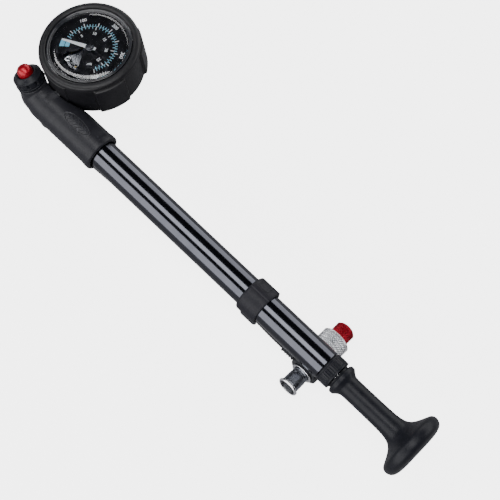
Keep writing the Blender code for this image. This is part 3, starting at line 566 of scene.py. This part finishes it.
def build_badge():
    """An oval badge on the head: a raised rim round a row of plain chevrons."""
    middle_x, half_x, half_y, on_r = -15.6, 8.4, 2.9, 9.0
    bar_pitch, bar_lean = 2.1, 0.8
    rim_high, bar_high = 0.28, 0.24
    rows, sides = 44, 144
    work = bmesh.new()
    rings = [[work.verts.new((middle_x * MM, 0, (on_r + 0.05) * MM))]]
    for i in range(1, rows + 1):
        d = i / rows
        ring = []
        for k in range(sides):
            a = TAU * k / sides
            x, s = d * half_x * math.cos(a), d * half_y * math.sin(a)
            rim = ramp(d, 0.84, 0.88) * (1.0 - ramp(d, 0.95, 1.0))
            bars = ramp(ridge((x + abs(s) * bar_lean) / bar_pitch), 0.4, 0.6) * (1.0 - ramp(d, 0.7, 0.76))
            height = 0.02 + rim_high * rim + bar_high * bars - 0.3 * ramp(d, 0.95, 1.0)
            turn = s / on_r
            ring.append(work.verts.new(((middle_x + x) * MM, (on_r + height) * math.sin(turn) * MM,
                                        (on_r + height) * math.cos(turn) * MM)))
        rings.append(ring)
    join_rings(work, rings)
    under = work.verts.new((middle_x * MM, 0, (on_r - 0.6) * MM))
    last = rings[-1]
    for k in range(sides):
        work.faces.new((last[k], last[(k + 1) % sides], under))
    piece("head_badge", work, PUMP, "badge_plastic", "pump_body", (), 60.0)


def build_bleed_valve():
    low, high = 1.9, 4.4
    profile = [(3.95, 6.3, 0.2), (4.5, 6.3, 0.3), (4.9, 5.9, 0.3), (6.1, 4.9, 0.4), (6.8, 4.55, 0.3),
               *straight(6.8, high, low, 12), (6.35, 1.75, 0.1), (6.35, 1.5, 0.1), (7.0, 1.3, 0.2), (7.0, 0.5, 0.2),
               (6.7, 0.3, 0.1), (4.5, 0.3), (4.5, -6.0, 0.2), (1.9, -6.0), (1.9, -5.0), (3.4, -5.0), (3.4, 2.2),
               (3.95, 2.2)]
    turned("bleed_collar_shell", profile, BLEED, "soft_black_plastic", "pump_body", ["bleed_collar"],
           216, True, grooves(10, low, high, 6.7, 0.9, 3.0))
    dome = flowing([(0, 10.1), (1.2, 10.1), (2.5, 9.5), (3.4, 8.3), (3.6, 7.0), (3.6, 6.0)], 3)
    rest = [(3.6, 4.2), (2.4, 4.2), (2.4, -1.2), (0.8, -1.2), (0.8, -5.3), (0, -5.3)]
    piece("bleed_button_dome", revolve(dome + rest, 72), BLEED, "red_plastic", "bleed_push", ["bleed_button"],
          50.0)


# ---------------------------------------------------------------- gauge

def boot_lugs(a, r, z):
    """Height of the boot's five broad lugs; the one toward the head is the lowest."""
    if r < 21.5 or z > -3.2:
        return 0.0
    count, first, near_head = 5, -19.5, 4
    between, full, low = 0.2, 1.4, 0.75
    height = between
    for k in range(count):
        middle = first + 360.0 / count * k
        off = abs((math.degrees(a) - middle + 180.0) % 360.0 - 180.0)
        top = low if k == near_head else full
        height = max(height, between + (top - between) * (1.0 - ramp(off, 17.6, 19.4)))
    return height * ramp(-z, 3.2, 3.8) * (1.0 - ramp(-z, 19.3, 20.3))


def build_gauge_shell():
    rim = [(19.7, -1.9, 0.1), (19.7, -0.7, 0.4), (20.3, -0.1, 0.5), (21.7, 0.0, 0.9), (22.9, -0.6, 0.9),
           (23.2, -1.7, 0.5), (23.2, -2.5, 0.4), (22.5, -3.2, 0.3), (22.4, -3.5), *straight(22.4, -3.7, -4.1, 2),
           *straight(22.4, -6.0, -18.0, 6), *straight(22.4, -18.9, -20.0, 6), (21.4, -20.5, 0.4), (13.0, -20.5, 0.3),
           (13.0, -18.5), (20.3, -18.5), (20.3, -1.9)]
    turned("gauge_boot_rubber", rim, GAUGE, "black_rubber", "pump_body", ["gauge_boot"], 360, True,
           boot_lugs)
    bezel = [(17.75, -2.6), (17.75, -1.15, 0.15), (18.1, -0.62, 0.22), (18.4, -0.95, 0.14), (18.75, -0.42, 0.3),
             (19.3, -0.42, 0.3), (19.4, -1.9, 0.1), (18.9, -1.9), (18.9, -2.6)]
    turned("bezel_ring", bezel, GAUGE, "bezel_black", "pump_body", ["gauge_bezel"], 160, True)
    curve, flat_r, edge, steps = 4.8, 15.0, 2.4, 14
    top, under = -0.45, -1.05
    past = [edge * i / steps for i in range(steps + 1)]
    drops = [(flat_r + far, curve - math.sqrt(curve * curve - far ** 2)) for far in past]
    outer = [(0, top), (7.0, top)] + [(r, top - drop) for r, drop in drops]
    inner = [(r, under - drop) for r, drop in reversed(drops)] + [(7.0, under), (0, under)]
    piece("gauge_glass", revolve(outer + inner, 128), GAUGE, "clear_lens", "pump_body", ["gauge_lens"],
          40.0)


def window():
    """The dial's rounded window onto the movement."""
    return eased([(-2.9, -1.5, 0.4), (-1.6, -2.2, 0.4), (3.5, -10.0, 1.6), (3.3, -12.7, 1.8), (-1.6, -13.2, 2.0),
                  (-7.0, -10.9, 2.0), (-6.6, -8.3, 1.4), (-3.6, -5.6, 1.2)], True, 6)


DIAL_Z = -3.0
PRINT_HIGH = 0.04
SCALE_START = 210.0          # degrees, where both scales read zero
SCALE_END = -34.0
PSI_DEGREES = 0.61           # per psi
BAR_DEGREES = 8.85           # per bar


def radial_bar(angle, inner, outer, width):
    """A printed mark: a thin bar along a radius."""
    work = block((inner, -width / 2, DIAL_Z), (outer, width / 2, DIAL_Z + PRINT_HIGH))
    work.transform(Matrix.Rotation(math.radians(angle), 4, "Z"))
    return work


def number(text, angle, radius, size):
    """A printed number that stands square to the dial's radius."""
    curve = bpy.data.curves.new("number", "FONT")
    curve.body = text
    curve.size = size * MM
    curve.extrude = PRINT_HIGH / 2 * MM
    curve.offset = 0.045 * MM
    curve.resolution_u = 4
    curve.align_x = "CENTER"
    curve.align_y = "CENTER"
    out = Matrix.Translation((radius * MM, 0, (DIAL_Z + PRINT_HIGH) * MM))
    turn = Matrix.Rotation(math.radians(angle), 4, "Z") @ out
    return from_curve(curve, turn @ Matrix.Rotation(math.radians(-90.0), 4, "Z"))


def psi_angle(pressure):
    return SCALE_START - PSI_DEGREES * pressure


def bar_angle(pressure):
    return SCALE_START - BAR_DEGREES * pressure


def build_dial():
    work = outline_plate([circle(18.8, 128), circle(0.9, 24), window()], DIAL_Z - 0.4, DIAL_Z, 0.04)
    piece("dial_face", work, GAUGE, "dial_print", "pump_body", ["gauge_dial"])
    cyan = []
    white = []
    wide, thin = 0.36, 0.3
    for psi in range(30, 410, 10):
        big = psi % 50 == 0
        mark = radial_bar(psi_angle(psi), 11.6, 13.4 if big else 12.6, wide if big else thin)
        (white if big else cyan).append(mark)
    for bar in range(2, 28):
        big = bar % 5 == 0
        mark = radial_bar(bar_angle(bar), 9.6 if big else 10.3, 11.3, wide if big else thin)
        (white if big else cyan).append(mark)
    ring = arc(11.52, 194.0, SCALE_END, 120) + arc(11.4, SCALE_END, 194.0, 120)
    cyan.append(outline_plate([ring], DIAL_Z, DIAL_Z + PRINT_HIGH))
    piece("dial_marks_cyan", merged(*cyan), GAUGE, "mark_cyan", "pump_body")
    piece("dial_marks_white", merged(*white), GAUGE, "mark_white", "pump_body")
    numbers = [number(str(psi), psi_angle(psi), 15.2, 2.3) for psi in (100, 200, 300, 400)]
    numbers += [number(str(bar), bar_angle(bar), 7.6, 2.0) for bar in (5, 10, 15, 20, 25)]
    numbers.append(number("bar", -45.0, 8.5, 1.8))
    piece("dial_numbers", merged(*numbers), GAUGE, "mark_white", "pump_body")
    halves = []
    for inner, outer in ((9.6, 11.6), (11.9, 14.1)):
        halves.append(outline_plate([arc(outer, 202.5, 217.5, 12) + arc(inner, 217.5, 202.5, 12)],
                                    DIAL_Z, DIAL_Z + 0.05))
    piece("zero_mark", merged(*halves), GAUGE, "zero_blue", "pump_body")


def across(points, degrees):
    """Flat points turned about the origin."""
    turn = math.radians(degrees)
    return [(x * math.cos(turn) - y * math.sin(turn), x * math.sin(turn) + y * math.cos(turn))
            for x, y in points]


def build_movement():
    """The plates and screws that the window shows, and the needle."""
    pivot = across([(10.8, 0.0)], -82.0)[0]
    screws = ((-4.1, -10.2), (4.6, 3.4))
    edge = arc(12.2, -121.0, -66.0, 30) + [(5.4, -6.0), (6.6, 3.6)]
    edge += arc(2.2, 10.0, 90.0, 10, screws[1]) + [(-2.4, 2.4), (-3.2, -2.0)]
    for name, node, bottom, top in (("front_plate", "movement_front_plate", -5.3, -4.7),
                                    ("back_plate", "movement_back_plate", -9.9, -9.1)):
        holes = [circle(0.8, 24), circle(0.85, 24, pivot), circle(1.0, 24, screws[0]), circle(1.0, 24, screws[1])]
        piece(name, outline_plate([edge] + holes, bottom, top, 0.08), GAUGE, "movement_steel", "pump_body", [node])
    rib = outline_plate([arc(11.9, -120.0, -67.0, 30) + arc(11.2, -67.0, -120.0, 30)], -4.7, -4.25, 0.1)
    boss = revolve(eased([(0.9, -4.7), (1.7, -4.7, 0.1), (1.5, -4.05, 0.2), (0.9, -4.05, 0.1)], True), 40, True)
    boss.transform(Matrix.Translation((pivot[0] * MM, pivot[1] * MM, 0)))
    edge_bar = outline_plate([[(-2.3, -1.9), (-1.5, -2.2), (3.2, -9.4), (3.3, -10.6), (2.5, -10.2)]],
                             -4.7, -3.9, 0.15)
    piece("movement_trim", merged(rib, boss, edge_bar), GAUGE, "movement_steel", "pump_body", ())
    for index, at in enumerate(screws, 1):
        head = [(0, -3.95), (0.75, -3.95, 0.1), (0.85, -3.7, 0.1), (1.3, -3.7, 0.2), (1.6, -4.0, 0.2),
                (1.6, -4.45, 0.1), (0.7, -4.45), (0.7, -10.6), (0, -10.6)]
        turned(f"movement_screw_head_{index}", head, frame_in(GAUGE, (*at, 0)), "chrome", "pump_body",
               [f"movement_screw_{index}"], 40)

    needle_rest = 203.0
    side = [(13.8, 0.22), (13.2, 0.36), (4.0, 0.82), (1.7, 0.9)]
    hub = arc(1.8, 35.0, 150.0, 10)
    tail = [(-1.7, 0.8), (-2.9, 0.6)]
    upper = side + hub + tail
    whole = upper + [(x, -y) for x, y in reversed(upper)]
    work = outline_plate([across(whole, needle_rest), circle(0.75, 20)], -2.6, -2.3, 0.04)
    piece("needle_pointer", work, GAUGE, "needle_white", "pointer", ["needle"])
    cap = [(0, -1.98), (0.78, -1.98), (0.78, -2.3), (2.05, -2.3, 0.1), (1.95, -2.12, 0.1), (1.35, -2.12, 0.1),
           (1.2, -1.88, 0.12), (0, -1.8)]
    turned("needle_hub", cap, GAUGE, "movement_steel", "pointer", (), 48)


# ---------------------------------------------------------------- hose, clip and fold

def hose_z(x):
    """Height of the hose's axis at x in the hose's frame."""
    def ease(start, end):
        part = min(1.0, max(0.0, (x - start) / (end - start)))
        return (1.0 - math.cos(math.pi * part)) / 2
    return -HOSE_DISTANCE + (HOSE_DISTANCE - HOSE_NEAR) * (ease(-18.0, 24.0) - ease(78.0, 116.0))


def build_hose():
    start, end = -29.9, CONNECTOR_X - 7.9
    count, sides, radius = 620, 40, 3.0
    rib_pitch, rib_deep, path_step = 1.5, 0.13, 4
    work = bmesh.new()
    rings = []
    path = []
    for i in range(count + 1):
        x = start + (end - start) * i / count
        z = hose_z(x)
        lean = math.atan2(hose_z(x + 0.1) - hose_z(x - 0.1), 0.2)
        if i % path_step == 0:
            path.append(tuple(HOSE @ Vector((x * MM, 0, z * MM))))
        r = radius - rib_deep * (1.0 - min(1.0, 2.2 * ridge(x / rib_pitch)))
        ring = []
        for k in range(sides):
            a = TAU * k / sides
            up = r * math.cos(a)
            ring.append(work.verts.new(((x - up * math.sin(lean)) * MM, r * math.sin(a) * MM,
                                        (z + up * math.cos(lean)) * MM)))
        rings.append(ring)
    ends = [work.verts.new((start * MM, 0, hose_z(start) * MM)), work.verts.new((end * MM, 0, hose_z(end) * MM))]
    join_rings(work, [[ends[0]], *rings, [ends[1]]])
    hose = piece("pressure_hose", work, HOSE, "hose_rubber", "hose_arm", ["hose"], 60.0)
    length = sum((Vector(b) - Vector(a)).length for a, b in zip(path, path[1:]))

    def ferrule(name, node, radius, start, end):
        rows = [(3.3, start, 0.1), (radius, start, 0.4)]
        crimps, deep = 4, 0.35
        span = (end - start) / (crimps + 1)
        for i in range(crimps):
            middle = start + span * (i + 1)
            rows += [(radius, middle - 0.75, 0.25), (radius - deep, middle - 0.4, 0.25),
                     (radius - deep, middle + 0.4, 0.25), (radius, middle + 0.75, 0.25)]
        rows += [(radius, end, 0.4), (3.3, end, 0.1)]
        return turned(name, rows, HOSE_ALONG_X, "black_metal", "hose_arm", [node], 72, True)

    ends = [ferrule("head_ferrule_crimp", "head_ferrule", 4.2, -31.0, -19.0),
            ferrule("connector_ferrule_crimp", "connector_ferrule", 3.8, 117.6, end + 0.5)]
    return hose, path, length, ends


def build_fold():
    eye = revolve(eased([(1.8, 1.7, 0.1), (3.5, 1.7, 0.3), (3.5, -1.7, 0.3), (1.8, -1.7, 0.1)], True), 64, True)
    neck = block((2.6, -2.3, -1.7), (5.8, 2.3, 1.7), 0.4)
    piece("fold_swivel", merged(eye, neck), FOLD, "black_metal", "hose_arm", ["hose_swivel"])
    rows = [(0, FOLD_R), (1.5, FOLD_R, 0.25), (1.5, 1.5), (1.05, 1.5), (1.05, 0.5), (1.5, 0.5),
            (1.5, -0.5), (1.05, -0.5), (1.05, -1.5), (1.5, -1.5), (1.5, -FOLD_R, 0.25), (0, -FOLD_R)]
    turned("fold_hinge_pin", rows, FOLD, "steel", "pump_body", ["fold_pin"], 48)


def clip_panel(a, r, z):
    """The clip's raised panel, with a framed field inside it. Angle 0 is toward the floor."""
    if r < 8.0:
        return 0.0
    panel_high, field_deep, core_high, dip_deep = 0.4, 0.26, 0.26, 0.3
    degrees = (math.degrees(a) + 180.0) % 360.0 - 180.0
    around = min(ramp(degrees, 98.0, 101.0), 1.0 - ramp(degrees, 172.0, 175.0))
    inner = min(ramp(degrees, 112.0, 114.0), 1.0 - ramp(degrees, 158.0, 160.0))
    inner = min(inner, ramp(z, 93.9, 94.2), 1.0 - ramp(z, 100.1, 100.4))
    core = min(ramp(degrees, 116.0, 118.0), 1.0 - ramp(degrees, 154.0, 156.0))
    core = min(core, ramp(z, 94.6, 94.9), 1.0 - ramp(z, 99.4, 99.7))
    dip = min(ramp(degrees, 84.0, 94.0), 1.0 - ramp(degrees, 97.0, 99.0))
    panel = panel_high * around * ramp(z, CLIP_START, CLIP_START + 0.6)
    return panel - field_deep * inner + core_high * core - dip_deep * dip


def build_clip():
    start, end, wall = CLIP_START, CLIP_END, CLIP_WALL
    outside = [(7.3, start, 0.2), (7.9, start, 0.3), (wall, start + 0.9, 0.7),
               *straight(wall, start + 1.5, end - 1.2, 28), (wall, end - 0.5, 0.4), (8.2, end, 0.3), (7.3, end, 0.2)]
    along_x = frame_in(LEVEL, degrees=90, axis="Y")
    hose = frame_in(LEVEL, degrees=HOSE_TILT)
    middle = (start + end) / 2
    slope = math.degrees(math.atan2(hose_z(start) - hose_z(end), end - start))
    at = (middle, 0, hose_z(middle))
    base = loose("clip_base", revolve(eased(outside, True), 360, True, clip_panel), along_x)
    cradle = loose("cradle", block((start + 0.6, -4.7, -15.6), (end - 0.6, 4.7, -8.2), 1.7), hose)
    trough = loose("trough", revolve([(0, -9.0), (3.45, -9.0), (3.45, 9.0), (0, 9.0)], 64),
                   frame_in(hose, at, 90 + slope, "Y"))
    mouth = loose("mouth", block((-9.0, -3.3, -8.0), (9.0, 3.3, 0.0)), frame_in(hose, at, slope, "Y"))
    bore = loose("bore", revolve([(0, 80.0), (7.25, 80.0), (7.25, 110.0), (0, 110.0)], 128), along_x)
    work = carved(base, [cradle], [bore, trough, mouth])
    piece("hose_clip_ring", work, PUMP, "clip_plastic", "pump_body", ["hose_clip"], 28.0)


# ---------------------------------------------------------------- valve connector

def build_connector():
    low, high = -3.9, 3.9
    wheel = [(3.9, -4.6, 0.2), (6.3, -4.6, 0.4), (7.0, -4.1, 0.2), *straight(7.0, low, high, 16), (7.0, 4.1, 0.2),
             (6.3, 4.6, 0.4), (3.9, 4.6, 0.2)]
    body = revolve(eased(wheel, True), 288, True, grooves(36, low, high, 6.9, 0.3, 2.0))
    neck = revolve(eased([(0, -1.6), (2.9, -1.6, 0.2), (2.9, 1.6, 0.2), (0, 1.6)]), 48)
    neck.transform(Matrix.Translation((-6.2 * MM, 0, 0)) @ Matrix.Rotation(math.pi / 2, 4, "Y"))
    piece("connector_wheel", merged(body, neck), CONNECTOR, "black_metal", "hose_arm", ["connector_body"])

    bore_r, thread_deep, half_pitch, half_turns = 3.45, 0.28, 0.36, 20
    thread = [(bore_r + thread_deep * ridge(i / 2.0), -7.0 - half_pitch * i) for i in range(half_turns)]
    inside = [(bore_r, -14.2), *reversed(thread), (bore_r, -6.3), (bore_r, -6.2), (1.1, -6.2), (1.1, 3.4),
              (2.2, 3.4), (2.2, 16.4)]
    outside = [(3.6, 16.4), (3.6, 3.65), (2.95, 3.65), (2.95, 2.35), (3.6, 2.35), (3.6, -2.35), (2.95, -2.35),
               (2.95, -3.65), (3.6, -3.65), (3.6, -5.9), (3.95, -5.95, 0.15), (3.9, -7.2, 0.3), (4.05, -8.0, 0.4),
               (4.1, -13.1, 0.1), (3.8, -13.1), (3.8, -14.2)]
    tube = turned("nozzle_tube", outside + inside, CONNECTOR, "gloss_black", "valve_end", ["valve_nozzle"],
                  96, True)
    tube.data.materials.append(MATS["black_metal"])
    for face in tube.data.polygons:     # the threaded mouth is darker than the outside: painted shade inside the bore
        if face.center.z < -6.0 * MM and face.center.xy.length < (bore_r + thread_deep + 0.05) * MM:
            face.material_index = 1
    lip = [(4.1, -13.3), (4.5, -13.3, 0.2), (4.9, -13.7, 0.25), (4.9, -14.3, 0.25), (4.55, -14.7, 0.2),
           (4.1, -14.7, 0.1)]
    turned("nozzle_lip_ring", lip, CONNECTOR, "chrome", "valve_end", ["nozzle_lip"], 96, True)
    turned("nozzle_washer_ring", [(3.9, -5.6, 0.1), (5.2, -5.6, 0.2), (5.2, -4.9, 0.2), (3.9, -4.9, 0.1)], CONNECTOR,
           "chrome", "valve_end", ["nozzle_washer"], 96, True)

    low, high = 5.5, 17.3
    ring = [(3.9, 4.9, 0.2), (6.4, 4.9, 0.2), (6.95, 5.4, 0.15), *straight(6.95, low, high, 96), (6.95, 17.4, 0.1),
            (6.4, 17.9, 0.2), (5.3, 17.9), (5.1, 17.6, 0.1), (3.9, 17.6)]
    turned("locking_ring_knurl", ring, CONNECTOR, "silver_anodised", "valve_end", ["locking_ring"],
           288, True, diamonds(32, 1.31, low, high, 6.9, 0.45), 24.0)

    low, high = 18.6, 23.7
    top = 24.98
    knob = [(0, top), (2.4, top), (2.6, top - 0.15), (3.5, top, 0.15), (4.72, 23.85, 0.15),
            *straight(4.75, high, low, 42), (4.5, 18.2, 0.2), (1.9, 18.2), (1.9, 4.6), (0, 4.6)]
    turned("release_knob_knurl", knob, CONNECTOR, "red_anodised", "knob", ["release_knob"], 224,
           relief=diamonds(26, 1.1, low, high, 4.7, 0.36), sharp=24.0)


def coil(radius, start, end, turns, wire):
    """A round wire wound about Z."""
    steps, sides = round(turns * 28), 12     # 28 steps to a turn
    lean = math.atan2(end - start, TAU * radius * turns)
    work = bmesh.new()
    rings = []
    for i in range(steps + 1):
        a = TAU * turns * i / steps
        out = Vector((math.cos(a), math.sin(a), 0))
        up = Vector((math.sin(a) * math.sin(lean), -math.cos(a) * math.sin(lean), math.cos(lean)))
        middle = out * radius + Vector((0, 0, start + (end - start) * i / steps))
        ring = [middle + out * wire * math.cos(TAU * k / sides) + up * wire * math.sin(TAU * k / sides)
                for k in range(sides)]
        rings.append([work.verts.new(p * MM) for p in ring])
    join_rings(work, rings)
    work.faces.new(rings[0])
    work.faces.new(rings[-1])
    return work


def build_springs():
    """The two springs, each with a mesh of its own."""
    spring = piece("bleed_spring_coil", coil(2.3, -4.6, -1.9, 2.5, 0.22), BLEED, "steel", "pump_body",
                   ["bleed_spring"])
    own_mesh(spring)
    spring = piece("check_valve_spring_coil", coil(1.7, -24.5, -18.1, 3.5, 0.22), ALONG_X, "steel", "pump_body",
                   ["check_valve_spring"])
    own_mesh(spring)


# ---------------------------------------------------------------- carried-over CAD nodes

CARRIED = {
    "piston": "brass", "check_valve_seat": "brass", "pinion_arbor": "brass", "sector_gear": "brass",
    # gauge_socket is a brass part; it is given black_metal as painted shade where it shows in the gap between the
    # gauge and the head.
    "bourdon_tube": "brass", "gauge_socket": "black_metal", "depressor_pin": "brass",
    "check_valve_ball": "steel", "gauge_case": "steel",
    "barrel_o_ring": "black_rubber", "piston_o_ring": "black_rubber", "fold_pin_o_ring_1": "black_rubber",
    "fold_pin_o_ring_2": "black_rubber", "nozzle_o_ring_1": "black_rubber", "nozzle_o_ring_2": "black_rubber",
    "nozzle_seal": "black_rubber",
}


def dress_carried():
    for name, mat in CARRIED.items():
        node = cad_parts[name]
        node.data.materials.clear()
        node.data.materials.append(MATS[mat])


# ---------------------------------------------------------------- floor, light and camera

FLOOR_REACH = 14.0                      # metres
FLOOR_GLOW = 4.2
FLOOR_TO_OBJECT = (0.2, 0.2, 0.21)
WORLD_GLOW = 4.4
WORLD_TO_OBJECT = (0.03, 0.032, 0.04)
LAMP_LENGTH = 3.0
LAMP_X = -0.12


def soft_box(name, degrees, distance, width, watts):
    """A long lamp the camera can't see, beside the barrel at an angle from straight up toward +Y."""
    lamp = bpy.data.lights.new(name, "AREA")
    lamp.shape = "RECTANGLE"
    lamp.size = LAMP_LENGTH
    lamp.size_y = width
    lamp.energy = watts
    obj = bpy.data.objects.new(name, lamp)
    bpy.context.scene.collection.objects.link(obj)
    out = Vector((0, math.sin(math.radians(degrees)), math.cos(math.radians(degrees))))
    along = Vector((1, 0, 0))
    turn = Matrix((along, out.cross(along), out)).transposed().to_4x4()
    turn.translation = ORIGIN + Vector((LAMP_X, 0, 0)) + out * distance
    obj.matrix_world = turn
    obj.visible_camera = False


def build_stage():
    """A pale floor and three soft lamps. Floor and world are bright to the camera and dark to the object."""
    work = bmesh.new()
    bmesh.ops.create_grid(work, x_segments=2, y_segments=2, size=FLOOR_REACH)
    floor = loose("floor", work)
    paper = finish("floor_paper", (0.4, 0.4, 0.4), (0.37, 0.37, 0.373), (0.8, 0.9), mottle=30.0, grain=0.02,
                   grain_scale=700.0)
    tree = paper.node_tree
    shader = tree.nodes["Principled BSDF"]
    seen = add(tree, "ShaderNodeLightPath").outputs["Is Camera Ray"]
    paint = shader.inputs["Base Color"].links[0].from_socket
    link(tree, mixed(tree, seen, FLOOR_TO_OBJECT, paint), shader.inputs["Base Color"])
    shader.inputs["Emission Color"].default_value = (1, 1, 1, 1)
    glow = add(tree, "ShaderNodeMath", operation="MULTIPLY")
    glow.inputs[1].default_value = FLOOR_GLOW
    link(tree, seen, glow.inputs[0])
    link(tree, glow.outputs["Value"], shader.inputs["Emission Strength"])
    floor.data.materials.append(paper)

    world = bpy.data.worlds.new("studio")
    world.use_nodes = True
    bpy.context.scene.world = world
    tree = world.node_tree
    back = tree.nodes["Background"]
    rays = add(tree, "ShaderNodeLightPath")
    shade = mixed(tree, rays.outputs["Is Camera Ray"], WORLD_TO_OBJECT, (WORLD_GLOW,) * 3)
    link(tree, shade, back.inputs["Color"])

    soft_box("left_box", -68.0, 1.1, 1.0, 36.0)
    soft_box("top_strip", -6.0, 1.3, 0.62, 32.0)
    soft_box("right_box", 76.0, 1.1, 0.95, 25.0)


def build_camera():
    """A view down on the dial, with the barrel falling from the upper left to the lower right."""
    camera = bpy.data.cameras.new("camera")
    camera.sensor_width = 36.0
    camera.lens = 91.83
    camera.clip_start = 0.01
    obj = bpy.data.objects.new("camera", camera)
    bpy.context.scene.collection.objects.link(obj)
    right = Vector((0.715302, 0.698445, 0.022762))
    up = Vector((-0.668363, 0.674257, 0.314115))
    turn = Matrix((right, up, right.cross(up))).transposed().to_4x4()
    turn.translation = ORIGIN + Vector((193.23, -120.40, 532.42)) * MM
    obj.matrix_world = turn
    bpy.context.scene.camera = obj


build_camera()
hose, hose_path, hose_length, ferrules = build_hose()
build_barrel()
build_handle()
build_head()
build_bleed_valve()
build_gauge_shell()
build_dial()
build_movement()
build_fold()
build_clip()
build_connector()
build_springs()
dress_carried()
build_stage()
